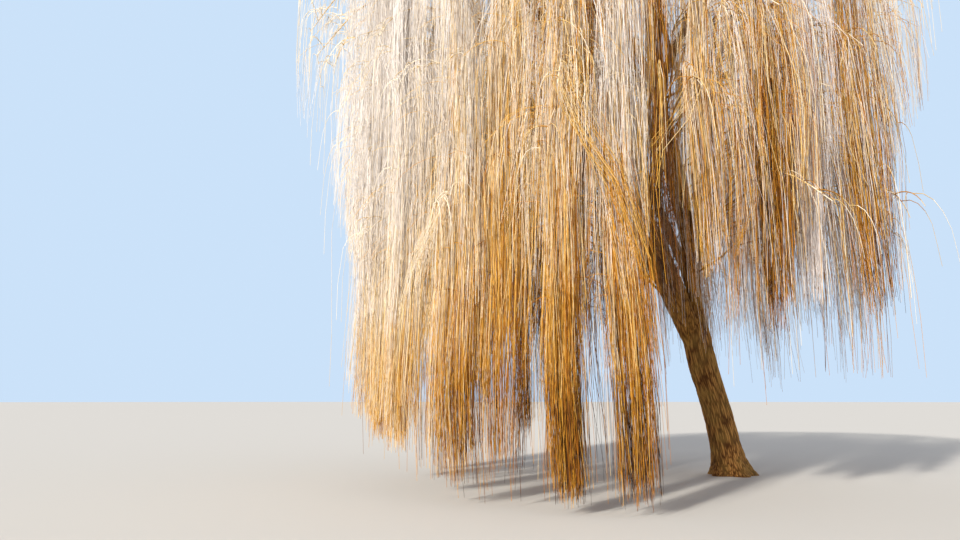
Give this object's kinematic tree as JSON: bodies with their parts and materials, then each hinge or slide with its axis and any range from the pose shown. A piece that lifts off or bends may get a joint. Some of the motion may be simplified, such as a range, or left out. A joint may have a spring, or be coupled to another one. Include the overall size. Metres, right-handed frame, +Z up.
{
  "type": "weeping willow tree",
  "caption": "Whole leafless weeping willow in winter: leaning trunk with root flare, arching limbs and boughs, and golden shoots hanging in curtains, frosted white at the top.",
  "frame": {"origin": "middle of the trunk's flat cut at ground level", "axes": "+Z up; -Y towards the side seen in the picture; the trunk leans and the crown lies towards -X"},
  "size_m": [17.7942, 17.8479, 17.4277],
  "materials": {
    "bark": "rough ridged bark",
    "frosted_shoots": "smooth yellow bark under a coat of hoarfrost",
    "golden_shoots": "smooth yellow to orange bark"
  },
  "bodies": {
    "root": {"trunk": "bark", "limb_1": "bark", "limb_2": "bark", "limb_3": "bark", "limb_4": "bark", "limb_5": "bark", "limb_6": "bark", "outer_bough_1": "bark", "outer_bough_2": "bark", "outer_bough_3": "bark", "outer_bough_4": "bark", "outer_bough_5": "bark", "outer_bough_6": "bark", "outer_bough_7": "bark", "outer_bough_8": "bark", "outer_bough_9": "bark", "outer_bough_10": "bark", "outer_bough_11": "bark", "outer_bough_12": "bark", "inner_bough_1": "bark", "inner_bough_2": "bark", "inner_bough_3": "bark", "inner_bough_4": "bark", "inner_bough_5": "bark", "inner_bough_6": "bark", "inner_bough_7": "bark", "outer_curtain_1": "frosted_shoots", "outer_curtain_2": "frosted_shoots", "outer_curtain_3": "frosted_shoots", "outer_curtain_4": "frosted_shoots", "outer_curtain_5": "frosted_shoots", "outer_curtain_6": "frosted_shoots", "outer_curtain_7": "frosted_shoots", "outer_curtain_8": "frosted_shoots", "outer_curtain_9": "frosted_shoots", "outer_curtain_10": "frosted_shoots", "outer_curtain_11": "frosted_shoots", "outer_curtain_12": "frosted_shoots", "inner_curtain_1": "golden_shoots", "inner_curtain_2": "golden_shoots", "inner_curtain_3": "golden_shoots", "inner_curtain_4": "golden_shoots", "inner_curtain_5": "golden_shoots", "inner_curtain_6": "golden_shoots", "inner_curtain_7": "golden_shoots", "top_curtain_1": "golden_shoots", "top_curtain_2": "golden_shoots", "top_curtain_3": "golden_shoots"}
  },
  "joints": []
}
